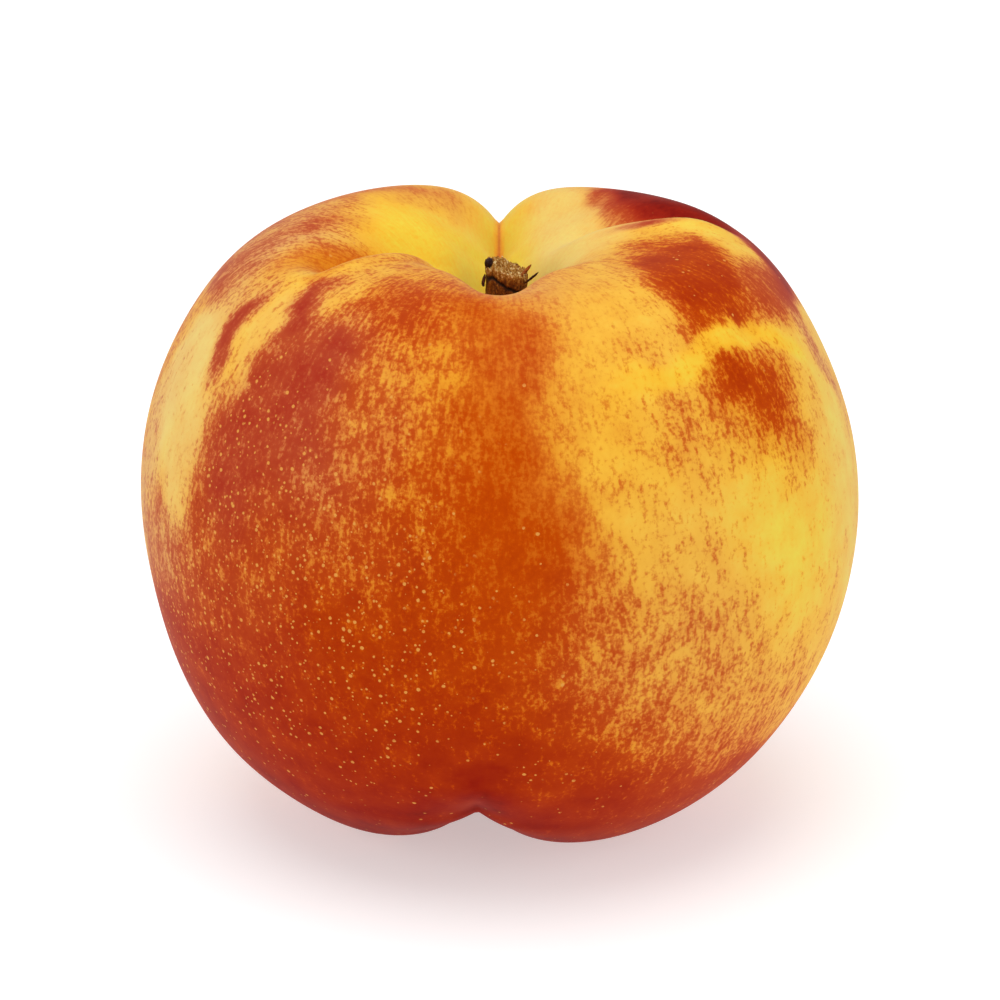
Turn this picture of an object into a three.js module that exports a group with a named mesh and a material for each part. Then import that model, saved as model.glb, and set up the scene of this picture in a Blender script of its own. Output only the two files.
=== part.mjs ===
// A ripe nectarine as picked: one fruit with a deep stem cavity, a cleft suture and two folds
// on its shoulders, and the torn stub of its stem with a dry bud and strips of bark on it.
// Millimetres, +Z up. The front is -Y, the suture's cleft is at the back (+Y).
import * as THREE from "three";

// ---- Driving dimensions of the fruit -------------------------------------------------

// Half of the upright section: [distance from the axis, height], from the floor of the stem
// cavity over the shoulder and the widest girth to the blossom end.
const SECTION = [
  [0.0, 50.0],
  [3.2, 50.1],
  [4.7, 51.6],
  [6.0, 55.2],
  [8.8, 59.2],
  [13.5, 61.8],
  [20.5, 62.2],
  [27.0, 58.5],
  [32.2, 51.0],
  [35.2, 42.0],
  [35.7, 31.5],
  [33.2, 20.8],
  [27.4, 10.9],
  [19.5, 4.1],
  [11.0, 1.2],
  [4.0, 1.8],
  [0.0, 2.8],
];
const CORE_Z = 33; // height of the middle of the flesh
const DEPTH_SHARE = 0.965; // front-to-back girth over side-to-side girth
const FLAT_Z = 1.9; // height at which the two lobes are flattened by resting
const FLAT_EDGE = 0.25; // how gently the flats run out into the round

// The stem cavity is narrower at the front and sides than the section, and wide at the back.
const CAVITY = { squeeze: 0.22, openAtBack: 0.15, from: 8, to: 17 };
// The front of the cavity's rim swells up beside the middle, and dips in the middle.
const FRONT_RIM = { rise: 1.2, dip: 3.6, dipWidth: 3.8, radius: 8, spread: 7 };

// The suture runs in the fore-and-aft plane. Its angle is counted from the top over the back
// (90) and the blossom end (180) to the front (270): [angle, depth] and [angle, half-width].
const SUTURE_DEPTH = [
  [0, 0.0],
  [10, 2.4],
  [17, 7.0],
  [27, 8.1],
  [45, 4.4],
  [62, 1.9],
  [80, 0.9],
  [120, 0.8],
  [150, 1.8],
  [175, 4.6],
  [212, 5.9],
  [226, 3.0],
  [241, 0.5],
  [256, 0.0],
  [360, 0.0],
];
const SUTURE_WIDTH = [
  [0, 1.6],
  [24, 3.0],
  [90, 3.0],
  [150, 3.5],
  [200, 4.8],
  [360, 4.8],
];
const SUTURE_SHIFT = -2.3; // the cleft drifts to the left towards the blossom end
const SUTURE_SHARPNESS = 0.2; // radius at the bottom of the cleft

// Folds that the skin made while it swelled round the stem, in plan: they start at the cavity
// and run out over a shoulder. The near side is steep and ends in a low lip.
const FOLDS = [
  { from: [-6.0, 3.6], to: [-17.8, -9.2], depth: 3.0, far: 4.2, near: 1.2, lip: 0.55 },
  { from: [6.5, 6.6], to: [23.0, 5.6], depth: 1.6, far: 2.6, near: 1.2, lip: 0.4 },
];

// Broad swellings and hollows that make the fruit uneven: centre, radius, height.
const SWELLINGS = [
  { at: [-27, -4, 11], radius: 10, height: 0.6 }, // left foot of the left lobe
  { at: [-12, -6, 2], radius: 9, height: 0.7 }, // sole of the left lobe
  { at: [-35, 0, 26], radius: 9, height: -0.6 }, // left cheek
  { at: [32, 0, 50], radius: 9, height: -0.4 }, // right cheek
  { at: [6, 13, 61], radius: 6, height: -1.35 }, // crest right of the cleft
  { at: [-4.5, 13, 61], radius: 5, height: -0.8 }, // crest left of the cleft
  { at: [19, 7, 62], radius: 6, height: 0.35 }, // top of the right shoulder
  { at: [24, -13, 57.5], radius: 2.6, height: -0.6 }, // dimple on the right shoulder
];

const COLUMNS = 64; // facets round the fruit
const RINGS = 48; // facets from the stem to the blossom end
const COLUMN_CROWDING = 0.25; // draws columns towards the suture, front and back
const RING_CROWDING = 1.2; // draws rings towards the stem cavity

// ---- Driving dimensions of the stem --------------------------------------------------

const GAP = 0.3; // clearance between pieces that touch
const STUB = { x: 0.7, y: 0.0, radius: 2.05, height: 8.95, sides: 28 };
const STUB_RINGS = [0.0, 1.6, 3.4, 5.2, 6.6, 7.6]; // heights of the rings on the stub's side
const TORN_RINGS = [1.0, 0.8, 0.55, 0.28]; // rings of the torn top, as shares of the radius
const TORN_SLOPE = 0.4; // the torn top falls to the right
const TORN_RIDGES = 0.14; // height of the torn fibres
// Where the torn top drops away beside the bud and the spur: place, radius, depth.
const TORN_STEPS = [
  { at: [-1.75, -0.4], radius: 0.95, depth: 0.95 },
  { at: [1.9, -0.1], radius: 0.8, depth: 0.5 },
];

// The dry bud left on the torn top: its middle above the cavity floor, and half sizes.
const BUD = { at: [-1.72, -0.45, 9.75], half: [0.45, 0.42, 0.56], lean: 14 };

// Dry bark that stands off the stub: turn about the stem in degrees from +X, distance of its
// foot from the stem's axis, height of the foot above the cavity floor, length, width at the
// foot, width in the middle, and outward tilt in degrees.
const BARK = [
  { name: "bark_flake", turn: 200, out: 2.55, foot: 7.4, length: 1.3, wide: [0.7, 0.5], tilt: -6 },
  { name: "bark_spur", turn: -10, out: 1.75, foot: 8.4, length: 1.5, wide: [1.0, 0.7], tilt: 44 },
  { name: "bark_sliver", turn: -30, out: 2.4, foot: 7.8, length: 2.0, wide: [0.5, 0.5], tilt: 50 },
];
const BARK_THICKNESS = 0.3;

// ---- Small mathematics ---------------------------------------------------------------

const DEGREES = 180 / Math.PI;

// Eased step from 0 to 1 between two values.
function ease(low, high, value) {
  const t = THREE.MathUtils.clamp((value - low) / (high - low), 0, 1);
  return t * t * (3 - 2 * t);
}

// Eased value between the [place, value] stops of a table.
function alongStops(table, place) {
  const next = Math.max(1, table.findIndex(([stop]) => place <= stop));
  const [[low, a], [high, b]] = [table[next - 1], table[next]];
  return a + (b - a) * ease(low, high, place);
}

// ---- The fruit -----------------------------------------------------------------------

const section = new THREE.SplineCurve(SECTION.map(([r, z]) => new THREE.Vector2(r, z)));
section.arcLengthDivisions = 800;

// How deep the folds of the shoulders are at a place in plan; a lip counts as negative.
function foldDepth(fold, x, y) {
  const start = new THREE.Vector2(...fold.from);
  const run = new THREE.Vector2(...fold.to).sub(start);
  const length = run.length();
  run.divideScalar(length);
  const towardsLip = new THREE.Vector2(run.y, -run.x);
  if (towardsLip.y > 0) towardsLip.negate();
  const place = new THREE.Vector2(x, y).sub(start);
  const along = place.dot(run) / length;
  const across = place.dot(towardsLip);
  const reach = ease(-0.25, 0.25, along) * (1 - ease(0.72, 1.12, along));
  const width = across > 0 ? fold.near : fold.far;
  const dip = fold.depth * Math.exp(-((across / width) ** 2));
  const lip = fold.lip * Math.exp(-(((across - 2 * fold.near) / (1.2 * fold.near)) ** 2));
  return reach * (dip - lip);
}

// A point of the skin. share runs from 0 at the cavity floor to 1 at the blossom end, and
// turn is the angle about the stem, from +X towards +Y.
function skinPoint(share, turn) {
  const { x: radius, y: height } = section.getPointAt(share);
  const along = section.getTangentAt(share);
  const outward = { r: -along.y, z: along.x };
  const cos = Math.cos(turn);
  const sin = Math.sin(turn);
  const back = Math.max(0, sin);
  const front = Math.max(0, -sin);

  const inCavity = 1 - ease(CAVITY.from, CAVITY.to, radius);
  const reach = radius * (1 - (CAVITY.squeeze - CAVITY.openAtBack * back ** 2) * inCavity);
  let x = reach * cos;
  let y = reach * sin * DEPTH_SHARE;
  let z = height;
  const nearRim = Math.exp(-(((reach - FRONT_RIM.radius) / FRONT_RIM.spread) ** 2));
  const dip = FRONT_RIM.dip * Math.exp(-((x / FRONT_RIM.dipWidth) ** 2));
  z += (FRONT_RIM.rise - dip) * ease(48, 62, z) * front ** 2 * nearRim;

  const angle = (Math.atan2(y, z - CORE_Z) * DEGREES + 360) % 360;
  const cleftX = SUTURE_SHIFT * ease(100, 190, angle) * (1 - ease(260, 330, angle));
  const fromCleft = Math.hypot(x - cleftX, SUTURE_SHARPNESS);
  let inward =
    alongStops(SUTURE_DEPTH, angle) * Math.exp(-fromCleft / alongStops(SUTURE_WIDTH, angle));
  for (const { at, radius: spread, height: swell } of SWELLINGS) {
    const apart = Math.hypot(x - at[0], y - at[1], z - at[2]);
    inward -= swell * Math.exp(-((apart / spread) ** 2));
  }
  for (const fold of FOLDS) inward += foldDepth(fold, x, y) * ease(50, 57, z);

  x -= outward.r * cos * inward;
  y -= outward.r * sin * inward;
  z -= outward.z * inward;
  const edge = Math.max(FLAT_EDGE - Math.abs(z - FLAT_Z), 0);
  z = Math.max(z, FLAT_Z) + edge ** 2 / (4 * FLAT_EDGE);
  return new THREE.Vector3(x, y, z);
}

function fruitGeometry() {
  const ball = new THREE.SphereGeometry(1, COLUMNS, RINGS);
  const corners = ball.getAttribute("position");
  const corner = new THREE.Vector3();
  for (let i = 0; i < corners.count; i++) {
    corner.fromBufferAttribute(corners, i);
    // The ball's own axis is Y; here it is turned upright, to Z.
    const polar = Math.acos(THREE.MathUtils.clamp(corner.y, -1, 1)) / Math.PI;
    const atPole = polar < 1e-6 || polar > 1 - 1e-6;
    const turn = atPole ? 0 : Math.atan2(-corner.z, corner.x);
    const crowded = turn + COLUMN_CROWDING * Math.sin(2 * turn);
    const point = skinPoint(polar ** RING_CROWDING, crowded);
    corners.setXYZ(i, point.x, point.y, point.z);
  }
  ball.deleteAttribute("uv");
  ball.computeVertexNormals();
  ball.computeBoundingBox();
  return ball;
}

// ---- The stem ------------------------------------------------------------------------

const floorZ = SECTION[0][1];

// Height of the torn top above the cavity floor, at a place measured from the stem's axis.
function tornHeight(x, y) {
  let height = STUB.height - TORN_SLOPE * x;
  height += TORN_RIDGES * Math.sin(4.1 * x + 1.3 * y) * Math.cos(2.3 * x - 3.4 * y);
  for (const { at, radius, depth } of TORN_STEPS) {
    const apart = Math.hypot(x - at[0], y - at[1]);
    height -= depth * Math.exp(-((apart / radius) ** 4));
  }
  return height;
}

function stubGeometry() {
  const { radius, sides } = STUB;
  const foot = [new THREE.Vector2(0, GAP), new THREE.Vector2(radius * 0.9, GAP)];
  const wall = STUB_RINGS.slice(1).map((height) => new THREE.Vector2(radius, height));
  const top = TORN_RINGS.map((share) => new THREE.Vector2(radius * share, STUB.height));
  const middle = new THREE.Vector2(0, STUB.height);
  const stub = new THREE.LatheGeometry([...foot, ...wall, ...top, middle], sides);
  stub.rotateX(Math.PI / 2); // a lathe turns about Y; the stem stands on Z
  const corners = stub.getAttribute("position");
  for (let i = 0; i < corners.count; i++) {
    if (corners.getZ(i) < STUB.height - 0.01) continue;
    corners.setZ(i, tornHeight(corners.getX(i), corners.getY(i)));
  }
  return stub;
}

function budGeometry() {
  return new THREE.SphereGeometry(1, 14, 10).scale(...BUD.half).rotateY(BUD.lean / DEGREES);
}

// A strip of bark: as long as it says, standing on its foot in the XZ plane, coming to a
// point, with its thickness about the middle of Y.
function barkGeometry({ length, wide: [foot, belly] }) {
  const strip = new THREE.Shape();
  strip.moveTo(-foot / 2, 0);
  strip.quadraticCurveTo(-belly / 2, length * 0.6, 0, length);
  strip.quadraticCurveTo(belly / 2, length * 0.6, foot / 2, 0);
  strip.closePath();
  const settings = { depth: BARK_THICKNESS, bevelEnabled: false, curveSegments: 6 };
  const bark = new THREE.ExtrudeGeometry(strip, settings);
  return bark.translate(0, 0, -BARK_THICKNESS / 2).rotateX(Math.PI / 2);
}

// ---- Materials -----------------------------------------------------------------------

const skin = new THREE.MeshStandardMaterial({ color: 0xd98a2b, roughness: 0.45, metalness: 0 });
const tornWood = new THREE.MeshStandardMaterial({ color: 0x7a4a1e, roughness: 0.9, metalness: 0 });
const dryBud = new THREE.MeshStandardMaterial({ color: 0x2a100c, roughness: 0.7, metalness: 0 });
const dryBark = new THREE.MeshStandardMaterial({ color: 0x5a2410, roughness: 0.8, metalness: 0 });

// ---- Assembly ------------------------------------------------------------------------

function named(name, geometry, material) {
  const mesh = new THREE.Mesh(geometry, material);
  mesh.name = name;
  return mesh;
}

function stemGroup() {
  const stem = new THREE.Group();
  stem.position.set(STUB.x, STUB.y, floorZ);
  stem.add(named("stem_stub", stubGeometry(), tornWood));
  const bud = named("dry_bud", budGeometry(), dryBud);
  bud.position.set(...BUD.at);
  stem.add(bud);
  for (const strip of BARK) stem.add(barkSpoke(strip));
  return stem;
}

// Places a strip of bark: turned about the stem, then tilted outwards at its foot.
function barkSpoke(strip) {
  const spoke = new THREE.Group();
  spoke.rotation.z = (strip.turn - 90) / DEGREES;
  const mesh = named(strip.name, barkGeometry(strip), dryBark);
  mesh.position.set(0, strip.out + BARK_THICKNESS / 2, strip.foot);
  mesh.rotation.x = -strip.tilt / DEGREES;
  spoke.add(mesh);
  return spoke;
}

const fruit = named("fruit", fruitGeometry(), skin);
const nectarine = new THREE.Group();
nectarine.add(fruit, stemGroup());

// The origin is on the resting plane, under the middle of the fruit.
const middle = fruit.geometry.boundingBox.getCenter(new THREE.Vector3());
nectarine.position.set(-middle.x, -middle.y, -fruit.geometry.boundingBox.min.z);

const part = new THREE.Group();
part.add(nectarine);

export default part;
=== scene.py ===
# A ripe nectarine on a pale table: the fruit with its painted blush, and the torn stub of its
# stem with a dry bud and strips of bark. Shapes are worked out in millimetres from the cavity
# floor's axis, and are then set into the frame in metres.
import math

import bmesh
import bpy
import numpy as np
from mathutils import Matrix, Vector, noise


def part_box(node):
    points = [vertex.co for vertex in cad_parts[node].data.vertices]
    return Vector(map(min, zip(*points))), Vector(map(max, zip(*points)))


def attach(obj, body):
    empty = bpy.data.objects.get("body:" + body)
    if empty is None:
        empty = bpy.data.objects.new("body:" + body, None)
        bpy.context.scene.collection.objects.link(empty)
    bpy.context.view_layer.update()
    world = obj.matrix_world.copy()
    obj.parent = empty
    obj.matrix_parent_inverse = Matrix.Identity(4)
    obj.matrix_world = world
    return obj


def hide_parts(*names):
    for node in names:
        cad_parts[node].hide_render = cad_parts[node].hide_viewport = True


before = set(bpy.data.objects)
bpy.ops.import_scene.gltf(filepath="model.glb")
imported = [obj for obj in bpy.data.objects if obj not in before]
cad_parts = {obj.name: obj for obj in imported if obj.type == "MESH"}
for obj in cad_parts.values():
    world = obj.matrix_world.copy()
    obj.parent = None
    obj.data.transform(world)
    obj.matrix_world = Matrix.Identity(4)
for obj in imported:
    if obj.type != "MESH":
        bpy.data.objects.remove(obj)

# The noise starts from the same place on every run.
noise.seed_set(7)

# ---- Sizes of the fruit, in millimetres ----------------------------------------------

# Half of the upright section: (distance from the axis, height).
SECTION = [
    (0.0, 50.0),
    (3.2, 50.1),
    (4.7, 51.6),
    (6.0, 55.2),
    (8.8, 59.2),
    (13.5, 61.8),
    (20.5, 62.2),
    (27.0, 58.5),
    (32.2, 51.0),
    (35.2, 42.0),
    (35.7, 31.5),
    (33.2, 20.8),
    (27.4, 10.9),
    (19.5, 4.1),
    (11.0, 1.2),
    (4.0, 1.8),
    (0.0, 2.8),
]
CORE_Z = 33.0
DEPTH_SHARE = 0.965
FLAT_Z = 1.9
FLAT_EDGE = 0.25
CAVITY = dict(squeeze=0.22, open_at_back=0.15, start=8.0, end=17.0)
FRONT_RIM = dict(rise=1.2, dip=3.6, dip_width=3.8, radius=8.0, spread=7.0)

# The suture: angle from the top over the back and the blossom end to the front, and depth.
SUTURE_DEPTH = [
    (0, 0.0),
    (10, 2.4),
    (17, 7.0),
    (27, 8.1),
    (45, 4.4),
    (62, 1.9),
    (80, 0.9),
    (120, 0.8),
    (150, 1.8),
    (175, 4.6),
    (212, 5.9),
    (226, 3.0),
    (241, 0.5),
    (256, 0.0),
    (360, 0.0),
]
SUTURE_WIDTH = [(0, 1.6), (24, 3.0), (90, 3.0), (150, 3.5), (200, 4.8), (360, 4.8)]
SUTURE_SHIFT = -2.3
SUTURE_SHARPNESS = 0.2

FOLDS = [
    dict(start=(-6.0, 3.6), end=(-17.8, -9.2), depth=3.0, far=4.2, near=1.2, lip=0.55),
    dict(start=(6.5, 6.6), end=(23.0, 5.6), depth=1.6, far=2.6, near=1.2, lip=0.4),
]

# Broad swellings and hollows: (centre, radius, height).
SWELLINGS = [
    ((-27, -4, 11), 10, 0.6),
    ((-12, -6, 2), 9, 0.7),
    ((-35, 0, 26), 9, -0.6),
    ((32, 0, 50), 9, -0.4),
    ((6, 13, 61), 6, -1.35),
    ((-4.5, 13, 61), 5, -0.8),
    ((19, 7, 62), 6, 0.35),
    ((24, -13, 57.5), 2.6, -0.6),
]

FRUIT_COLUMNS = 360
FRUIT_RINGS = 230

# ---- Small mathematics ---------------------------------------------------------------


def ease(low, high, value):
    """Eased step from 0 to 1 between two values; works on numbers and on arrays."""
    t = np.clip((value - low) / (high - low), 0.0, 1.0)
    return t * t * (3 - 2 * t)


def along_stops(table, place):
    """Eased values between the (place, value) stops of a table, for an array of places."""
    values = np.full_like(place, table[0][1])
    for (low, a), (high, b) in zip(table, table[1:]):
        inside = place >= low
        values = np.where(inside, a + (b - a) * ease(low, high, place), values)
    return values


def section_track(points, per=60):
    """The smooth curve through the section's points, as [distance along, radius, height]."""
    ends = [points[0]] + list(points) + [points[-1]]
    track = []
    for p0, p1, p2, p3 in zip(ends, ends[1:], ends[2:], ends[3:]):
        for step in range(per):
            t = step / per
            spot = []
            for a, b, c, d in zip(p0, p1, p2, p3):
                v0 = (c - a) * 0.5
                v1 = (d - b) * 0.5
                cube = (2 * b - 2 * c + v0 + v1) * t**3
                square = (-3 * b + 3 * c - 2 * v0 - v1) * t**2
                spot.append(cube + square + v0 * t + b)
            track.append(spot)
    track.append(list(points[-1]))
    track = np.array(track)
    steps = np.hypot(np.diff(track[:, 0]), np.diff(track[:, 1]))
    along = np.concatenate([[0.0], np.cumsum(steps)])
    return np.column_stack([along / along[-1], track])


TRACK = section_track(SECTION)


def section_at(share):
    """Radius and height of the section at a share of its length."""
    radius = np.interp(share, TRACK[:, 0], TRACK[:, 1])
    height = np.interp(share, TRACK[:, 0], TRACK[:, 2])
    return radius, height


# ---- The fruit's shape ---------------------------------------------------------------


def fold_depth(fold, x, y):
    """How deep a shoulder fold is at places in plan; its lip counts as negative."""
    start = Vector(fold["start"])
    run = Vector(fold["end"]) - start
    length = run.length
    run /= length
    across_x, across_y = run.y, -run.x
    if across_y > 0:
        across_x, across_y = -across_x, -across_y
    along = ((x - start.x) * run.x + (y - start.y) * run.y) / length
    across = (x - start.x) * across_x + (y - start.y) * across_y
    reach = ease(-0.25, 0.25, along) * (1 - ease(0.72, 1.12, along))
    width = np.where(across > 0, fold["near"], fold["far"])
    dip = fold["depth"] * np.exp(-((across / width) ** 2))
    lip = fold["lip"] * np.exp(-(((across - 2 * fold["near"]) / (1.2 * fold["near"])) ** 2))
    return reach * (dip - lip)


def skin_points(share, turn):
    """Points of the skin, for shares from the cavity floor to the blossom end and turns."""
    radius, height = section_at(share)
    step = 0.002
    r0, z0 = section_at(np.clip(share - step, 0, 1))
    r1, z1 = section_at(np.clip(share + step, 0, 1))
    length = np.hypot(r1 - r0, z1 - z0)
    out_r = -(z1 - z0) / length
    out_z = (r1 - r0) / length
    cos = np.cos(turn)
    sin = np.sin(turn)
    back = np.maximum(0, sin)
    front = np.maximum(0, -sin)

    in_cavity = 1 - ease(CAVITY["start"], CAVITY["end"], radius)
    reach = radius * (1 - (CAVITY["squeeze"] - CAVITY["open_at_back"] * back**2) * in_cavity)
    x = reach * cos
    y = reach * sin * DEPTH_SHARE
    near_rim = np.exp(-(((reach - FRONT_RIM["radius"]) / FRONT_RIM["spread"]) ** 2))
    lower = FRONT_RIM["dip"] * np.exp(-((x / FRONT_RIM["dip_width"]) ** 2))
    z = height + (FRONT_RIM["rise"] - lower) * ease(48, 62, height) * front**2 * near_rim

    angle = np.degrees(np.arctan2(y, z - CORE_Z)) % 360
    cleft = SUTURE_SHIFT * ease(100, 190, angle) * (1 - ease(260, 330, angle))
    from_cleft = np.hypot(x - cleft, SUTURE_SHARPNESS)
    width = along_stops(SUTURE_WIDTH, angle)
    inward = along_stops(SUTURE_DEPTH, angle) * np.exp(-from_cleft / width)
    for at, spread, swell in SWELLINGS:
        apart = (x - at[0]) ** 2 + (y - at[1]) ** 2 + (z - at[2]) ** 2
        inward = inward - swell * np.exp(-apart / spread**2)
    for fold in FOLDS:
        inward = inward + fold_depth(fold, x, y) * ease(50, 57, z)

    x = x - out_r * cos * inward
    y = y - out_r * sin * inward
    z = z - out_z * inward
    edge = np.maximum(FLAT_EDGE - np.abs(z - FLAT_Z), 0)
    z = np.maximum(z, FLAT_Z) + edge**2 / (4 * FLAT_EDGE)
    return np.column_stack([x, y, z])


def ball(name, columns, rings):
    """A new closed ball with its poles on Z, and the polar share and turn of its vertices."""
    mesh = bpy.data.meshes.new(name)
    shape = bmesh.new()
    bmesh.ops.create_uvsphere(shape, u_segments=columns, v_segments=rings, radius=1.0)
    shape.to_mesh(mesh)
    shape.free()
    corners = corners_of(mesh)
    share = np.arccos(np.clip(corners[:, 2], -1, 1)) / math.pi
    turn = np.arctan2(corners[:, 1], corners[:, 0])
    mesh.shade_smooth()
    return mesh, share, turn


def corners_of(mesh):
    """The mesh's vertices as an array."""
    corners = np.empty(len(mesh.vertices) * 3)
    mesh.vertices.foreach_get("co", corners)
    return corners.reshape(-1, 3)


def move_corners(mesh, corners):
    """Moves the mesh's vertices to these places."""
    mesh.vertices.foreach_set("co", np.ascontiguousarray(corners, dtype=np.float64).ravel())
    mesh.update()


def add_piece(name, mesh, material, node):
    """Shows a finished mesh as a piece that stands for a CAD node."""
    piece = bpy.data.objects.new(name, mesh)
    bpy.context.scene.collection.objects.link(piece)
    mesh.materials.append(material)
    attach(piece, "root")
    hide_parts(node)
    return piece


def jitter(places, size, depth, seed):
    """Smooth random shifts of up to about depth, in patches of about size."""
    shift = Vector((seed, seed * 1.7, -seed))
    return np.array([noise.noise_vector(Vector(p) / size + shift) for p in places]) * depth


# ---- The fruit's colours, painted on with broad strokes --------------------------------

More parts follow.
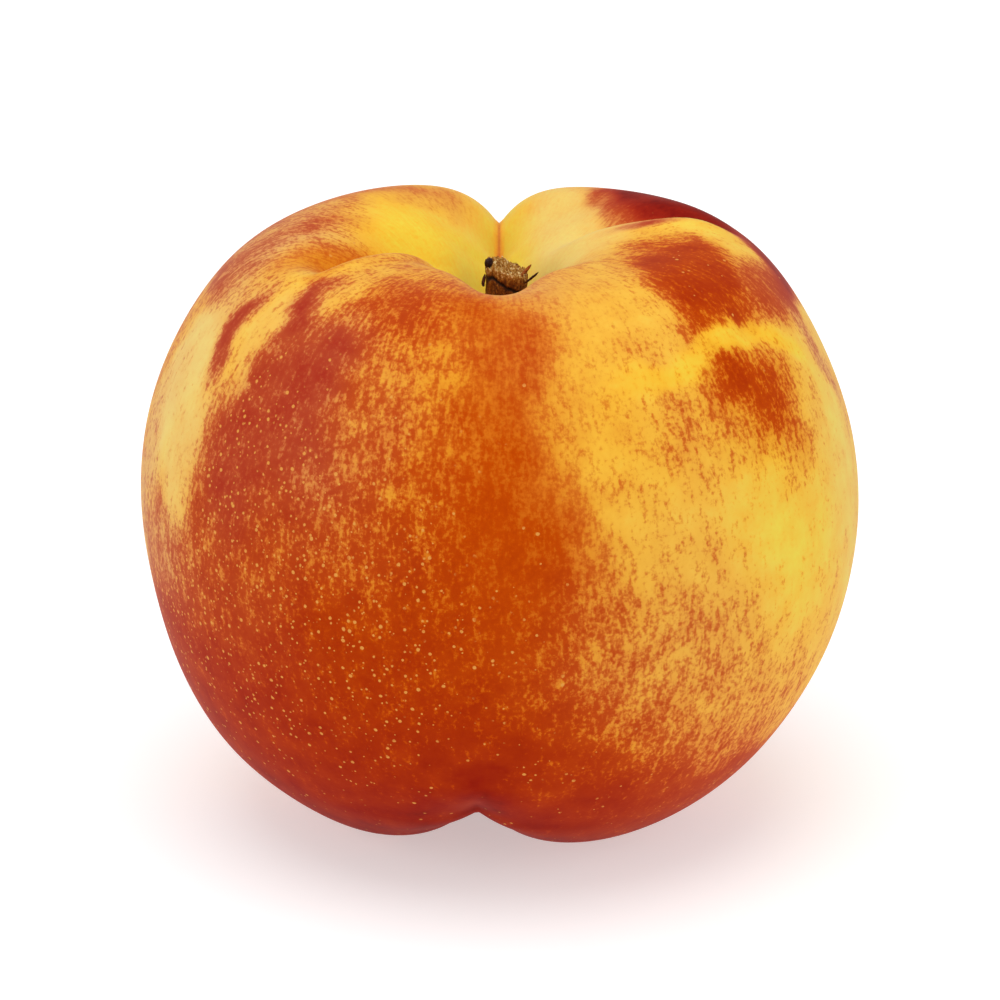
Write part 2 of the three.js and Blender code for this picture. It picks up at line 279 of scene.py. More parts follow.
# Each stroke: place on the skin in millimetres, the way it runs (round the girth unless it
# says), half sizes along that way and across it, softness of its edge (0 to 1), then what it
# leaves there: blush (0 yellow to 1 dark red), crimson (0 orange reds and clear yellows, 1
# pink reds and pale yellows), specks (0 none to 1 dense), and how strongly it covers. Grain
# tells how much its colour breaks up into freckles (0 a smooth wash, 1 separate dots); edges
# always break up more. A steady stroke keeps a clean course; the others wander like real blush.
# Some strokes stand in for light: painted shade in the folds, the cleft and towards the underside, and
# painted sheen as pale yellow at the left edge and in the cavity.
STROKES = [
    # The back, out of the sun on one side: a red flank and a yellow cleft.
    dict(at=(-26, 20, 38), size=(20, 26), soft=0.7, blush=0.62, crimson=0.4, specks=0.6, load=1),
    dict(at=(24, 22, 46), size=(13, 18), soft=0.6, blush=0.74, crimson=0.6, specks=0.4, load=1),
    dict(at=(2, 30, 14), size=(30, 14), soft=0.8, blush=0.70, crimson=0.2, specks=0.5, load=0.9),
    dict(at=(0, 33, 40), size=(6, 22), soft=0.9, blush=0.22, crimson=0.1, specks=0.2, load=0.8),
    # The warm middle of the front, from the rim down to the blossom end.
    dict(
        at=(-2, -29, 53), size=(6.5, 9),
        soft=0.6, blush=0.50, crimson=0.0, specks=0.1, load=1, grain=0.25,
    ),
    dict(
        at=(-1, -34, 40), size=(11, 13),
        soft=0.55, blush=0.60, crimson=0.0, specks=0.2, load=1, grain=0.25,
    ),
    dict(
        at=(2, -33, 26), size=(16, 14),
        soft=0.6, blush=0.62, crimson=0.0, specks=0.2, load=1, grain=0.3,
    ),
    dict(
        at=(3, -25, 58), size=(4, 5),
        soft=0.9, blush=0.58, crimson=0.1, specks=0.0, load=0.7, grain=0.3,
    ),
    dict(
        at=(-5, -20, 61.5), size=(8, 5),
        soft=0.9, blush=0.54, crimson=0.0, specks=0, load=1, grain=0.2,
    ),
    dict(
        at=(5, -16, 61.5), size=(4, 4),
        soft=0.9, blush=0.36, crimson=0.6, specks=0, load=0.8, grain=0.2,
    ),
    dict(at=(-9, -28, 53), size=(5, 8), soft=0.9, blush=0.46, crimson=0.1, specks=0.1, load=0.8),
    # The lower left and the underside, deep orange-red, painted darker towards the underside partly as
    # painted shade.
    dict(at=(-18, -29, 28), size=(15, 17), soft=0.6, blush=0.68, crimson=0.0, specks=0.9, load=1),
    dict(at=(-30, -17, 23), size=(13, 17), soft=0.6, blush=0.74, crimson=0.5, specks=1.0, load=1),
    dict(
        at=(-26, -23, 36), size=(8, 7),
        soft=0.9, blush=0.62, crimson=0.3, specks=1.0, load=0.9, grain=1,
    ),
    dict(at=(-15, -23, 14), size=(22, 13), soft=0.8, blush=0.82, crimson=0.0, specks=0.5, load=1),
    dict(at=(10, -25, 13), size=(13, 10), soft=0.8, blush=0.70, crimson=0.0, specks=0.3, load=0.9),
    dict(at=(-2, -28, 15), size=(5, 9), soft=0.9, blush=0.92, crimson=0.0, specks=0.1, load=0.9),
    # The darkest strokes, under the fruit, are partly painted shade.
    dict(at=(-8, -19, 6), size=(20, 9), soft=0.8, blush=1.0, crimson=0.0, specks=0.1, load=1),
    dict(at=(10, -20, 6), size=(14, 8), soft=0.8, blush=0.98, crimson=0.0, specks=0.2, load=1),
    dict(at=(24, -22, 20), size=(8, 8), soft=0.9, blush=0.40, crimson=0.4, specks=0.1, load=0.8),
    dict(at=(20, -15, 8), size=(14, 7), soft=0.9, blush=0.66, crimson=0.3, specks=0.2, load=0.9),
    dict(at=(0, 0, 2), size=(24, 20), soft=0.7, blush=0.88, crimson=0.1, specks=0.3, load=0.9),
    # The left band: pale yellow above, partly the skin's yellow and partly painted sheen along the left
    # edge, brown-stippled at the cheek and further down.
    dict(at=(-30, -9, 52), size=(4.5, 10), soft=0.5, blush=0.10, crimson=0.9, specks=0.1, load=1),
    dict(at=(-30.5, -15, 45), size=(3.6, 8), soft=0.5, blush=0.14, crimson=0.8, specks=0.2, load=1),
    dict(at=(-34, -7, 42), size=(3, 10), soft=0.8, blush=0.30, crimson=1, specks=0.5, load=0.9),
    dict(at=(-33, -13, 35), size=(6, 4), soft=0.9, blush=0.46, crimson=0.9, specks=0.8, load=0.8),
    # Open, freckled skin below the left shoulder, where the yellow shows through.
    dict(
        at=(-21, -27, 43), size=(11, 5),
        soft=0.9, blush=0.60, crimson=0.2, specks=1, load=0.9, grain=1,
    ),
    # The crimson patch of the left shoulder, its tongues and the yellow between them.
    dict(
        at=(-19.5, -24, 52), size=(8.5, 7),
        soft=0.8, blush=0.70, crimson=0.7, specks=0.7, load=1, grain=0.9,
    ),
    dict(
        at=(-24.5, -21, 49), size=(4, 8),
        soft=0.8, blush=0.72, crimson=0.7, specks=1, load=1, grain=0.9,
    ),
    dict(
        at=(-16, -21.5, 57), size=(4, 4.5),
        soft=0.8, blush=0.74, crimson=0.8, specks=0.3, load=1, grain=0.7,
    ),
    dict(at=(-25.2, -12, 57), size=(1.5, 5), soft=0.6, blush=0.72, crimson=0.8, specks=0.1, load=1),
    dict(at=(-18.5, -15.5, 60.2), size=(2.3, 4), soft=0.6, blush=0.74, crimson=0.8, specks=0, load=1),
    dict(at=(-22.3, -14.6, 58), size=(2.0, 5.4), soft=0.6, blush=0.18, crimson=0.5, specks=0, load=0.9),
    dict(at=(-14.3, -15, 61.8), size=(1.6, 3), soft=0.8, blush=0.24, crimson=0.4, specks=0, load=0.8),
    dict(at=(-9, -17.5, 61.5), size=(4.5, 3.6), soft=0.9, blush=0.58, crimson=0.2, specks=0, load=0.9),
    dict(at=(-12, -26, 54.5), size=(3, 6), soft=0.8, blush=0.44, crimson=0.2, specks=0.2, load=0.7),
    # The crests beside the cleft are yellow.
    dict(
        at=(0, 15, 59), size=(10, 9),
        soft=0.6, blush=0.13, crimson=0.2, specks=0, load=1, grain=0.5,
    ),
    # The top of the left shoulder: pink-brown outside, orange-yellow in the fold, laid darker there
    # partly as painted shade.
    dict(at=(-23, 1, 61), size=(8, 6), soft=0.7, blush=0.36, crimson=0.9, specks=0.1, load=1),
    dict(at=(-27, 0, 59), size=(7, 2.2), soft=0.8, blush=0.60, crimson=0.8, specks=0, load=0.9),
    dict(
        at=(-17, 4.5, 62.2), run=(1, 0.5, 0), size=(6, 1.8),
        soft=0.8, blush=0.5, crimson=0.4, specks=0, load=0.9,
    ),
    dict(
        at=(-19, 11, 61), run=(1, 0.8, 0), size=(6, 3.5),
        soft=0.8, blush=0.4, crimson=0.6, specks=0, load=0.8,
    ),
    dict(
        at=(-8, 8.0, 61), run=(0.65, -0.75, 0), size=(9, 3.4),
        soft=0.5, blush=0.10, crimson=0.0, specks=0, load=1, grain=0.2,
    ),
    dict(
        at=(-14, 14.5, 61), run=(1, 0.3, 0), size=(12, 2.6),
        soft=0.9, blush=0.48, crimson=0.5, specks=0, load=0.9, grain=0.15,
    ),
    dict(at=(-24, 3, 60.5), size=(8, 5), soft=0.9, blush=0.55, crimson=0.8, specks=0, load=0.7),
    # Orange along the fold, darker partly as painted shade.
    dict(
        at=(-14.0, -2.6, 61), run=(0.85, 0.5, 0), size=(8.5, 3.0),
        soft=0.6, blush=0.42, crimson=0.0, specks=0, load=1, grain=0.3, steady=True,
    ),
    dict(
        at=(-15.5, -9.0, 61.5), run=(0.7, 0.7, 0), size=(3.5, 1.2),
        soft=0.8, blush=0.40, crimson=0.0, specks=0, load=0.8, grain=0.2, steady=True,
    ),
    # The right shoulder: two red patches with a yellow streak between them.
    dict(
        at=(18.9, -9.6, 61), run=(0.35, -0.9, 0), size=(9.5, 5.8),
        soft=0.35, blush=0.70, crimson=0.0, specks=0.2, load=1, grain=0.9,
    ),
    dict(at=(26.5, -4, 58.8), size=(5, 3.5), soft=0.5, blush=0.62, crimson=0.3, specks=0, load=1),
    dict(
        at=(24.0, -19.0, 52.2), run=(0.7, 0.3, -0.65), size=(7.6, 5.8),
        soft=0.6, blush=0.56, crimson=0.0, specks=0.1, load=1, grain=1,
    ),
    dict(
        at=(23.8, -18.6, 53.6), run=(0.7, 0.3, -0.65), size=(4.5, 2.2),
        soft=0.8, blush=0.66, crimson=0.0, specks=0.1, load=0.9, grain=0.9,
    ),
    dict(
        at=(16, -26.5, 51), size=(6, 4),
        soft=0.9, blush=0.34, crimson=0.2, specks=0, load=0.9, grain=1,
    ),
    dict(
        at=(17, -30, 31), size=(10, 9),
        soft=0.9, blush=0.36, crimson=0.4, specks=0, load=0.8, grain=1,
    ),
    dict(
        at=(31.5, -4, 52), size=(1.8, 7),
        soft=0.7, blush=0.48, crimson=0.8, specks=0, load=0.9, grain=1,
    ),
    dict(
        at=(15.5, -23, 56.6), run=(0.75, 0.7, 0.15), size=(7, 1.6),
        soft=0.6, blush=0.12, crimson=0.0, specks=0, load=0.9,
    ),
    dict(
        at=(22, -15.6, 57.4), run=(0.55, 0.8, 0), size=(4, 1.3),
        soft=0.6, blush=0.10, crimson=0.0, specks=0, load=1,
    ),
    dict(
        at=(27.5, -11, 55), run=(0.6, 0.4, -0.5), size=(5.5, 1.5),
        soft=0.6, blush=0.12, crimson=0.0, specks=0, load=1,
    ),
    dict(
        at=(32.5, -8, 47), run=(0.3, 0, -1), size=(7, 2.2),
        soft=0.6, blush=0.12, crimson=0.3, specks=0, load=1,
    ),
    dict(
        at=(27, -20, 38), run=(0.3, 0.3, -1), size=(9, 5),
        soft=0.9, blush=0.04, crimson=0.1, specks=0, load=0.9, grain=0.6,
    ),
    dict(
        at=(33, -9, 40), run=(0.1, 0.1, -1), size=(10, 5),
        soft=0.9, blush=0.08, crimson=0.5, specks=0, load=0.8, grain=0.6,
    ),
    # Open yellow between the warm middle and the right shoulder's patches.
    dict(
        at=(8.5, -19, 60.5), run=(1, 0, 0), size=(3.6, 7),
        soft=0.9, blush=0.20, crimson=0.2, specks=0, load=0.85, grain=0.3,
    ),
    dict(
        at=(10, -27, 52.5), size=(4.5, 6),
        soft=0.9, blush=0.24, crimson=0.1, specks=0, load=0.8, grain=0.5,
    ),
    # The back of the right shoulder: crimson behind, yellow before the fold, with a thin dark red line
    # of painted shade along the fold's crease.
    dict(
        at=(17.5, 11.5, 62), run=(1, -0.55, 0), size=(13, 5.0),
        soft=0.35, blush=1.0, crimson=0.4, specks=0, load=1,
    ),
    dict(at=(27, 5, 58.5), size=(7, 4), soft=0.4, blush=0.95, crimson=0.6, specks=0, load=1),
    dict(
        at=(5.0, 12.5, 60), run=(0.3, 1, 0), size=(9, 4.6),
        soft=0.5, blush=0.10, crimson=0.7, specks=0, load=1, grain=0.2,
    ),
    dict(
        at=(15, 4.6, 62), run=(1, -0.3, 0), size=(11, 1.9),
        soft=0.5, blush=0.12, crimson=0.2, specks=0, load=1, steady=True,
    ),
    # Painted shade: a thin dark red line along the crease of the fold.
    dict(
        at=(12.0, 3.2, 61.5), run=(1, 0.02, 0.3), size=(4.5, 0.6),
        soft=0.8, blush=0.85, crimson=1, specks=0, load=1, grain=0.2, steady=True,
    ),
    # The cavity: clear yellow at the left, paler at the right, partly its own pale yellow and partly
    # painted sheen, the cleft cleared of blush to offset the orange of light bouncing between its
    # walls, and a thin brown line of painted shade in its crease.
    dict(
        at=(-5, 4, 57), size=(7, 9),
        soft=0.5, blush=0.06, crimson=0, specks=0, load=1, grain=0.1,
    ),
    # Paler at the right: partly painted sheen.
    dict(
        at=(5, 4, 57), size=(7, 8),
        soft=0.5, blush=0.06, crimson=0.8, specks=0, load=1, grain=0.1,
    ),
    dict(
        at=(24.2, -12.6, 57.5), size=(1.0, 0.8),
        soft=0.9, blush=0.24, crimson=0, specks=0, load=0.6, grain=1, steady=True,
    ),
    # Cleared of blush to offset the orange that light bouncing between the cleft's walls adds.
    dict(
        at=(0, 11, 58), run=(1, 0, 0), size=(3.2, 11),
        soft=0.6, blush=0.0, crimson=0.1, specks=0, load=1, grain=0, steady=True,
    ),
    # Painted shade: a thin brown line down the cleft's crease.
    dict(
        at=(0, 12, 57), run=(1, 0, 0), size=(0.28, 11),
        soft=0.9, blush=0.60, crimson=0.5, specks=0, load=0.8, grain=0, steady=True,
    ),
]
BASE = (0.13, 0.25, 0.0, 0.8)


EDGE_GRAIN = 0.3


def paint(corners):
    """Blush, crimson, specks and grain at each of the skin's points."""
    wander = jitter(corners, 6.0, 1.6, 11) + jitter(corners, 2.0, 0.8, 23)
    layers = np.zeros((len(corners), 4))
    layers[:] = BASE
    for stroke in STROKES:
        at = Vector(stroke["at"])
        outward = Vector((at.x / 35.7**2, at.y / 34.4**2, (at.z - CORE_Z) / 30**2)).normalized()
        along_girth = Vector((-at.y, at.x, 0)).normalized()
        if along_girth.length < 0.5:
            along_girth = Vector((1, 0, 0))
        run = Vector(stroke.get("run", along_girth))
        wide_way = (run - outward * run.dot(outward)).normalized()
        tall_way = outward.cross(wide_way)
        away = corners - np.array(at)
        if not stroke.get("steady"):
            away = away + wander
        wide, tall = stroke["size"]
        u = away @ np.array(wide_way) / wide
        v = away @ np.array(tall_way) / tall
        w = away @ np.array(outward) / (2 * max(wide, tall))
        apart = np.sqrt(u * u + v * v + w * w)
        soft = stroke["soft"]
        cover = (stroke["load"] * (1 - ease(1 - soft, 1 + soft, apart)))[:, None]
        grain = stroke.get("grain", 0.6)
        left = np.array([stroke["blush"], stroke["crimson"], stroke["specks"], grain])
        layers = layers * (1 - cover) + left * cover
        layers[:, 3] += EDGE_GRAIN * (4 * cover * (1 - cover))[:, 0] * (grain > 0.5)
    layers[:, 3] = np.clip(layers[:, 3], 0, 1)
    return layers


def store(mesh, name, kind, values):
    """Keeps one value or colour for each vertex of the mesh."""
    layer = mesh.attributes.new(name, kind, "POINT")
    key = {"FLOAT": "value", "FLOAT_VECTOR": "vector"}[kind]
    layer.data.foreach_set(key, np.ascontiguousarray(values, dtype=np.float32).ravel())


def fruit_mesh():
    mesh, share, turn = ball("fruit_flesh", FRUIT_COLUMNS, FRUIT_RINGS)
    points = skin_points(share, turn)
    layers = paint(points)
    store(mesh, "paint", "FLOAT_VECTOR", layers[:, :3])
    store(mesh, "grain", "FLOAT", layers[:, 3])
    flow = np.column_stack([35 * np.cos(turn), 35 * np.sin(turn), 42 * share])
    store(mesh, "flow", "FLOAT_VECTOR", flow)
    low, high = (np.array(corner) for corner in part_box("fruit"))
    own_low = points.min(0)
    own_high = points.max(0)
    scale = (high - low) / (own_high - own_low)
    move_corners(mesh, low + (points - own_low) * scale)
    return mesh, low - own_low * scale


# ---- Materials: a small way to write them as sums --------------------------------------


class Shade:
    """A value that varies over a surface, for use in ordinary sums."""

    def __init__(self, graph, socket):
        self.graph = graph
        self.socket = socket

    def maths(self, operation, *values):
        return self.graph.node("ShaderNodeMath", {"operation": operation}, dict(enumerate(values)))

    def __add__(self, other):
        return self.maths("ADD", self, other)

    def __sub__(self, other):
        return self.maths("SUBTRACT", self, other)

    def __mul__(self, other):
        return self.maths("MULTIPLY", self, other)

    def __truediv__(self, other):
        return self.maths("DIVIDE", self, other)

    def __pow__(self, other):
        return self.maths("POWER", self, other)

    def __radd__(self, other):
        return self.maths("ADD", other, self)

    def __rsub__(self, other):
        return self.maths("SUBTRACT", other, self)

    def __rmul__(self, other):
        return self.maths("MULTIPLY", other, self)

    def between(self, low, high):
        """An eased step from 0 to 1 as the value goes from low to high."""
        settings = {"interpolation_type": "SMOOTHSTEP"}
        ends = {"Value": self, "From Min": low, "From Max": high}
        return self.graph.node("ShaderNodeMapRange", settings, ends)


class Graph:
    """The nodes of one material."""

    def __init__(self, name):
        self.material = bpy.data.materials.new(name)
        self.material.use_nodes = True
        self.tree = self.material.node_tree
        self.tree.nodes.clear()

    def node(self, kind, settings=None, inputs=None, output=0):
        made = self.tree.nodes.new(kind)
        for key, value in (settings or {}).items():
            setattr(made, key, value)
        for key, value in (inputs or {}).items():
            if isinstance(value, Shade):
                self.tree.links.new(value.socket, made.inputs[key])
            else:
                made.inputs[key].default_value = value
        return Shade(self, made.outputs[output]) if len(made.outputs) else made

    def place(self):
        """Where a point of the piece is, in millimetres."""
        here = self.node("ShaderNodeTexCoord", output="Object")
        return self.node("ShaderNodeVectorMath", {"operation": "SCALE"}, {0: here, "Scale": 1000.0})

    def kept(self, name):
        """What the mesh keeps under this name, as a vector."""
        return self.node("ShaderNodeAttribute", {"attribute_name": name}, output="Vector")

    def parts(self, vector):
        split = self.node("ShaderNodeSeparateXYZ", inputs={0: vector})
        return [Shade(self, socket) for socket in split.socket.node.outputs]

    def noise(self, at, scale, detail=2.0, roughness=0.5):
        inputs = {"Vector": at, "Scale": scale, "Detail": detail, "Roughness": roughness}
        return self.node("ShaderNodeTexNoise", {"noise_dimensions": "3D"}, inputs)

    def mix(self, factor, a, b):
        settings = {"data_type": "RGBA", "blend_type": "MIX"}
        return self.node("ShaderNodeMix", settings, {0: factor, 6: a, 7: b}, output=2)

    def ramp(self, value, stops):
        """A colour that follows a value through (value, colour) stops."""
        made = self.node("ShaderNodeValToRGB", inputs={0: value})
        band = made.socket.node.color_ramp
        band.interpolation = "LINEAR"
        while len(band.elements) < len(stops):
            band.elements.new(0.5)
        for element, (position, colour) in zip(band.elements, stops):
            element.position = position
            element.color = colour
        return made

    def finish(self, surface, height):
        """Joins the surface's settings and its relief, in millimetres, into the shader."""
        relief = {"Strength": 1.0, "Distance": 0.001, "Height": height}
        bump = self.node("ShaderNodeBump", inputs=relief)
        shader = self.node("ShaderNodeBsdfPrincipled", inputs={**surface, "Normal": bump})
        self.node("ShaderNodeOutputMaterial", inputs={"Surface": shader})
        return self.material


def paint_colour(text):
    """The colour of a #rrggbb text as the light that it reflects."""
    parts = [int(text[i : i + 2], 16) / 255 for i in (1, 3, 5)]
    return tuple(c / 12.92 if c < 0.04 else ((c + 0.055) / 1.055) ** 2.4 for c in parts) + (1.0,)


# ---- The skin's material ---------------------------------------------------------------

ORANGE_REDS = [
    (0.00, "#e9cf44"),
    (0.15, "#eeb22c"),
    (0.30, "#e0921e"),
    (0.45, "#d06c12"),
    (0.60, "#bc4600"),
    (0.75, "#a83000"),
    (0.88, "#901800"),
    (1.00, "#640400"),
]
PINK_REDS = [
    (0.00, "#e6ce7c"),
    (0.20, "#e2b265"),
    (0.40, "#cc8250"),
    (0.60, "#b65434"),
    (0.80, "#a42c20"),
    (1.00, "#7c0e12"),
]


def skin_material():
    graph = Graph("fruit_skin")
    place = graph.place()
    blush, crimson, specks = graph.parts(graph.kept("paint"))
    flow = graph.kept("flow")

    # Freckles and short streaks up the side: the redder the skin, the more of it they take,
    # until only pale dots are left open between them.
    grain = graph.node("ShaderNodeAttribute", {"attribute_name": "grain"}, output="Fac")
    streaks = graph.noise(flow, 1.5, 4.0, 0.6) - 0.5
    stipple = graph.noise(place, 2.4, 4.0, 0.65) - 0.5
    blotches = graph.noise(place, 0.30, 3.0, 0.55) - 0.5
    reach = blush + blotches * (0.1 + grain * 0.35)
    freckled = (streaks * 0.85 + stipple * 0.9 + reach * 0.62).between(0.13, 0.44)
    low_tone = reach * 0.62
    high_tone = reach * 0.55 + 0.34
    broken = low_tone + (high_tone - low_tone) * freckled
    smooth = reach + (streaks + stipple) * 0.16
    strength = smooth + (broken - smooth) * grain * 0.85

    warm = graph.ramp(strength, [(at, paint_colour(c)) for at, c in ORANGE_REDS])
    pink = graph.ramp(strength, [(at, paint_colour(c)) for at, c in PINK_REDS])
    colour = graph.mix(crimson, warm, pink)

    # Pale breathing pores, dense on the shaded red side.
    pores = graph.node(
        "ShaderNodeTexVoronoi",
        {"feature": "F1"},
        {"Vector": place, "Scale": 1.7, "Randomness": 1.0},
    )
    chance = graph.parts(Shade(graph, pores.socket.node.outputs["Color"]))
    size = 0.16 + chance[0] * chance[0] * 0.26
    ragged = graph.noise(place, 3.0, 2.0, 0.6) - 0.5
    dots = 1 - (pores + ragged * 0.3).between(size * 0.6, size)
    crowd = graph.noise(place, 0.5, 2.0, 0.6) - 0.5
    dots = dots * (chance[1] + specks * 1.1 - 1.08 + crowd * 1.2).between(0.0, 0.2)
    colour = graph.mix(dots * 0.85, colour, paint_colour("#dd9a48"))

    # Painted sheen: the skin is mixed towards a pale colour where it turns away from the eye, above the
    # underside, in place of the bright room's reflection at grazing angles.
    turned = graph.node("ShaderNodeLayerWeight", inputs={"Blend": 0.5}, output="Facing")
    raised = graph.parts(place)[2].between(14.0, 36.0)
    painted_sheen = turned**4.0 * raised * (1 - blush * 0.9) * 0.25
    colour = graph.mix(painted_sheen, colour, paint_colour("#d8b48c"))

    surface = {
        "Base Color": colour,
        "Roughness": 0.5,
        "IOR": 1.4,
        "Specular IOR Level": 0.03,
        "Subsurface Weight": 0.12,
        "Subsurface Radius": (1.0, 0.45, 0.15),
        "Subsurface Scale": 0.0015,
    }
    grain = graph.noise(place, 3.5, 2.0, 0.5) * 0.012
    return graph.finish(surface, grain + dots * 0.01)


# ---- The stem ------------------------------------------------------------------------

# The stub's axis and its foot on the cavity's floor.
STEM_AT = (0.7, 0.0, 49.9)
STUB_RADIUS = 2.05
STUB_HEIGHT = 9.05
TORN_SLOPE = 0.4


def torn_height(x, y):
    """Height of the torn top above the cavity's floor, at a place from the stem's axis."""
    height = STUB_HEIGHT - TORN_SLOPE * x
    under_bud = np.hypot(x + 1.75, y + 0.4)
    height = height - 0.75 * np.exp(-((under_bud / 0.85) ** 4))
    height = height + 0.10 * np.sin(4.1 * x + 1.3 * y) * np.cos(2.3 * x - 3.4 * y)
    return height


def stub_mesh(offset):
    """The stub: a rough wall with a lip of torn bark, and a splintered top."""
    mesh, share, turn = ball("stem_wood", 144, 120)
    top_end = 0.36
    foot_start = 0.9
    on_top = np.clip(share / top_end, 0, 1)
    down = np.clip((share - top_end) / (foot_start - top_end), 0, 1)
    under = np.clip((share - foot_start) / (1 - foot_start), 0, 1)
    radius = STUB_RADIUS * on_top**0.8 * (1 - under) * (1 - 0.06 * down)
    x = radius * np.cos(turn)
    y = radius * np.sin(turn)
    top = torn_height(x, y)
    height = top * (1 - down)
    body = np.column_stack([x, y, height])
    outward = np.column_stack([np.cos(turn), np.sin(turn), np.zeros_like(turn)])

    coarse = np.array([noise.noise(Vector((a * 1.3, b * 1.3, c * 0.7 + 5))) for a, b, c in body])
    fibres = np.array([noise.noise(Vector((a * 4.5, b * 4.5, c * 1.1))) for a, b, c in body])
    grit = np.array([noise.noise(Vector(p) * 7.0 + Vector((3, 8, 1))) for p in body])
    on_wall = (ease(0.9, 1.0, on_top) * (1 - ease(0.0, 0.4, under)))[:, None]
    lip = np.exp(-(((down - 0.13 - 0.05 * np.sin(turn + 2)) / 0.018) ** 2))
    push = 0.10 * coarse + 0.10 * fibres + 0.05 * grit - 0.13 * lip
    body = body + outward * on_wall * push[:, None]
    splinters = np.abs(fibres) * 0.55 + grit * 0.22 + coarse * 0.15
    edge = 0.25 * np.exp(-(((on_top - 0.92) / 0.08) ** 2)) * (0.4 + fibres)
    lift = (1 - ease(0.0, 0.12, down)) * (splinters + edge - 0.15)
    body[:, 2] += lift * (1 - under)
    store(mesh, "torn", "FLOAT_VECTOR", np.column_stack([on_top, down, lip]))
    move_corners(mesh, set_in_frame(body + np.array(STEM_AT), offset))
    return mesh


def set_in_frame(points, offset):
    """Millimetres from the cavity's axis to metres in the frame."""
    return points * 0.001 + offset


def bud_mesh(offset):
    """The dry bud: a wrinkled little knob."""
    mesh, share, turn = ball("bud_wood", 64, 44)
    knob = corners_of(mesh)
    bumps = np.array([noise.noise(Vector(p) * 1.8) + 0.4 * noise.noise(Vector(p) * 5) for p in knob])
    knob = knob * (0.9 + 0.18 * bumps)[:, None] * np.array([0.45, 0.42, 0.56])
    lean = np.array(Matrix.Rotation(math.radians(14), 3, "Y"))
    at = np.array(STEM_AT) + np.array([-1.70, -0.45, 9.72])
    move_corners(mesh, set_in_frame(knob @ lean.T + at, offset))
    return mesh


def bark_mesh(name, strip, offset):
    """A thin strip of bark: pointed, ragged at the sides and a little curled."""
    mesh, share, turn = ball(name, 48, 60)
    up = 1 - share
    foot, belly = strip["wide"]
    width = (foot * (1 - up) + belly * 1.6 * up * (1 - up)) * np.sqrt(np.clip(up * 14, 0, 1))
    width = width * (1 - ease(0.75, 1.0, up) * 0.7)
    ragged = np.array([noise.noise(Vector((u * 9, 4.0, strip["turn"]))) for u in up])
    x = 0.5 * (width * (1 + 0.35 * ragged)) * np.cos(turn)
    y = 0.5 * strip["thick"] * np.sqrt(np.clip(np.sin(math.pi * share), 0, 1)) * np.sin(turn)
    y = y + strip["curl"] * up**2
    body = np.column_stack([x, y, strip["length"] * up])
    grit = np.array([noise.noise_vector(Vector(p) * 6) for p in body]) * 0.03
    body = body + grit * np.sin(math.pi * share)[:, None]
    tilt = Matrix.Rotation(math.radians(-strip["tilt"]), 4, "X")
    spoke = Matrix.Rotation(math.radians(strip["turn"] - 90), 4, "Z")
    shift = Matrix.Translation((0, strip["out"], strip["foot"]))
    place = np.array(spoke @ shift @ tilt)
    body = body @ place[:3, :3].T + place[:3, 3]
    move_corners(mesh, set_in_frame(body + np.array(STEM_AT), offset))
    return mesh


# Turn about the stem in degrees from +X, distance of the foot from the axis, height of the
# foot above the cavity's floor, length, widths, thickness, curl and outward tilt.
BARK = {
    "bark_flake": dict(
        turn=200, out=2.45, foot=7.4, length=1.3, wide=(0.7, 0.5), thick=0.28, curl=-0.1, tilt=-6
    ),
    "bark_spur": dict(
        turn=-10, out=1.45, foot=8.3, length=1.6, wide=(1.1, 0.8), thick=0.34, curl=-0.1, tilt=44
    ),
    # The sliver: a thin dark strip at the stub's front right.
    "bark_sliver": dict(
        turn=-30, out=2.1, foot=7.8, length=2.1, wide=(0.5, 0.45), thick=0.24, curl=-0.1, tilt=50
    ),
}


def dry_material(name, colours, dark_foot=0.0, shine=0.85):
    """Dry, fibrous wood or bark, dark in the hollows of its relief and light on its high fibres: partly
    its own mottle, partly painted shade.
    """
    graph = Graph(name)
    place = graph.place()
    long_way = graph.node(
        "ShaderNodeVectorMath", {"operation": "MULTIPLY"}, {0: place, 1: (1.0, 1.0, 0.3)}
    )
    fibres = graph.noise(long_way, 3.5, 4.0, 0.65)
    grit = graph.noise(place, 4.5, 3.0, 0.7)
    # Colour follows the relief's noise, darker where it is low: partly painted shade.
    mottle = (fibres * 0.55 + grit * 0.45 - 0.5) * 2.2 + 0.5
    # The torn top is lighter: pale torn wood, partly a painted highlight. The wall darkens towards its
    # foot, and the crease under the lip of torn bark is darkened as painted shade.
    if dark_foot:
        on_top, down, lip = graph.parts(graph.kept("torn"))
        torn = 1 - down.between(0.0, 0.12)
        mottle = mottle + torn * 0.25 - down.between(0.15, 0.6) * dark_foot - lip * 0.6
    stops = [(at, paint_colour(c)) for at, c in colours]
    surface = {
        "Base Color": graph.ramp(mottle, stops),
        "Roughness": shine,
        "Specular IOR Level": 0.25,
    }
    return graph.finish(surface, fibres * 0.08 + grit * 0.06)


WOOD_COLOURS = [
    (0.0, "#1c0a02"),
    (0.3, "#4c2606"),
    (0.55, "#80480c"),
    (0.8, "#b07a28"),
    (1.0, "#f2d89a"),
]
BUD_COLOURS = [(0.0, "#140505"), (0.6, "#2c0c0a"), (1.0, "#5a2418")]
BARK_COLOURS = [(0.0, "#1a0706"), (0.55, "#3a150c"), (1.0, "#7a3a1c")]
SPUR_COLOURS = [(0.0, "#5a2406"), (0.5, "#9a4a0e"), (1.0, "#cc8630")]

# ---- The table, the light and the camera -------------------------------------------------

TARGET = Vector((0.0, 0.0, 0.0311))
VIEW_RISE = math.radians(22)
VIEW_DISTANCE = 0.480
LENS = 172.8
SENSOR = 36.0
SHIFT_UP = 0.014


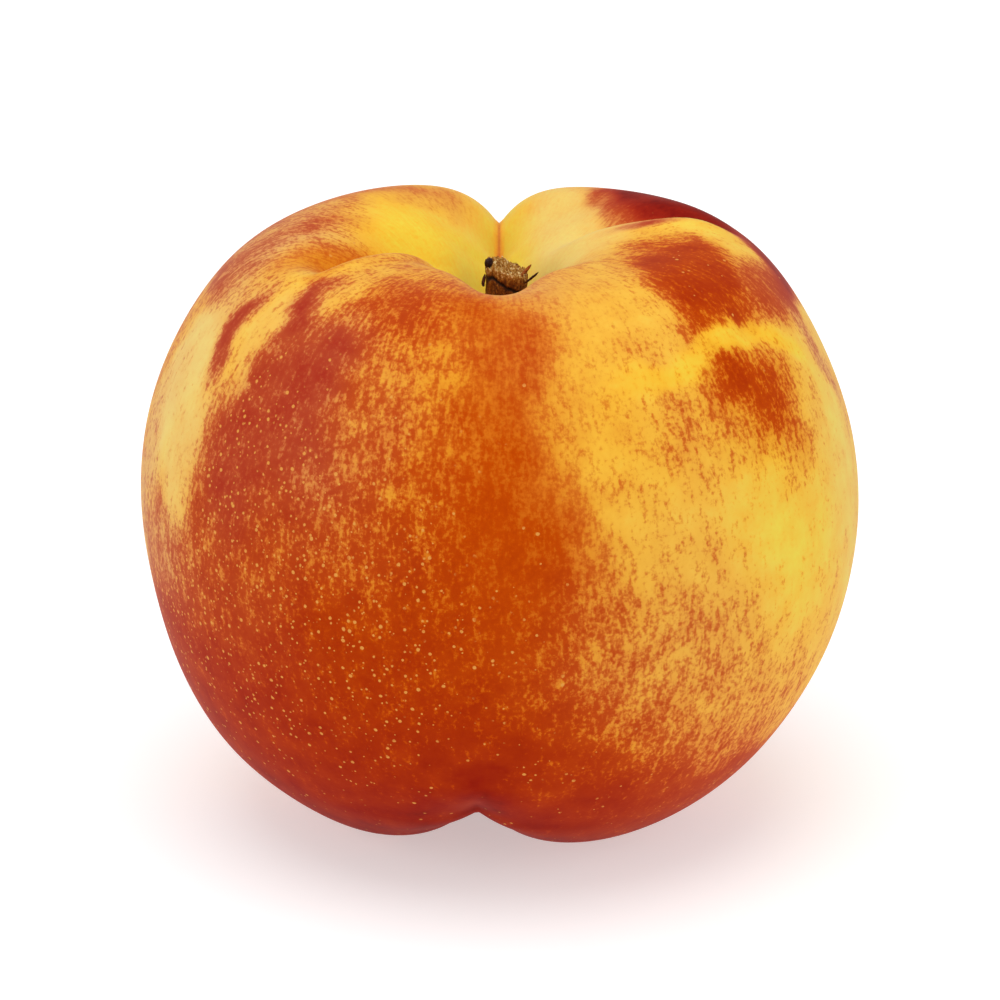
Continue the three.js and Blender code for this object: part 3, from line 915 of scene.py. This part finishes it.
def table_top():
    mesh = bpy.data.meshes.new("table_top")
    shape = bmesh.new()
    bmesh.ops.create_grid(shape, x_segments=2, y_segments=2, size=3.0)
    shape.to_mesh(mesh)
    shape.free()
    table = bpy.data.objects.new("table_top", mesh)
    bpy.context.scene.collection.objects.link(table)
    graph = Graph("pale_table")
    surface = {
        "Base Color": (0.72, 0.72, 0.72, 1),
        "Roughness": 0.9,
        "Specular IOR Level": 0.1,
        "Emission Color": (1.0, 1.0, 1.0, 1),
        "Emission Strength": 0.45,
    }
    mesh.materials.append(graph.finish(surface, 0.0))


def soft_box(name, place, size, watts):
    """A large soft light that faces the fruit."""
    light = bpy.data.lights.new(name, "AREA")
    light.shape = "DISK"
    light.size = size
    light.energy = watts
    lamp = bpy.data.objects.new(name, light)
    bpy.context.scene.collection.objects.link(lamp)
    lamp.location = place
    away = Vector(place) - TARGET
    lamp.rotation_mode = "QUATERNION"
    lamp.rotation_quaternion = away.to_track_quat("Z", "Y")


def studio():
    world = bpy.data.worlds.new("pale_room")
    bpy.context.scene.world = world
    world.use_nodes = True
    room = world.node_tree.nodes["Background"]
    room.inputs["Color"].default_value = (1, 1, 1, 1)
    room.inputs["Strength"].default_value = 0.50
    soft_box("light_above", (-0.05, -0.10, 0.9), 0.9, 5.0)
    soft_box("light_left", (-0.8, -0.5, 0.45), 0.7, 1.6)
    soft_box("light_right", (0.8, -0.4, 0.45), 0.7, 1.4)

    lens = bpy.data.cameras.new("camera")
    lens.lens = LENS
    lens.sensor_width = SENSOR
    lens.shift_y = SHIFT_UP
    camera = bpy.data.objects.new("camera", lens)
    bpy.context.scene.collection.objects.link(camera)
    away = Vector((0, -math.cos(VIEW_RISE), math.sin(VIEW_RISE)))
    camera.location = TARGET + away * VIEW_DISTANCE
    camera.rotation_mode = "QUATERNION"
    camera.rotation_quaternion = away.to_track_quat("Z", "Y")
    bpy.context.scene.camera = camera
    bpy.context.scene.view_settings.view_transform = "Standard"


# ---- Putting it together -----------------------------------------------------------------


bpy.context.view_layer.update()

fruit, offset = fruit_mesh()
add_piece("nectarine_fruit", fruit, skin_material(), "fruit")
stub_look = dry_material("torn_wood", WOOD_COLOURS, dark_foot=0.15, shine=0.7)
add_piece("nectarine_stub", stub_mesh(offset), stub_look, "stem_stub")
bud_look = dry_material("dry_bud", BUD_COLOURS, shine=0.55)
add_piece("nectarine_bud", bud_mesh(offset), bud_look, "dry_bud")
bark_look = dry_material("dry_bark", BARK_COLOURS)
spur_look = dry_material("red_bark", SPUR_COLOURS)
for name, strip in BARK.items():
    look = spur_look if name == "bark_spur" else bark_look
    add_piece("nectarine_" + name, bark_mesh(name, strip, offset), look, name)

table_top()
studio()
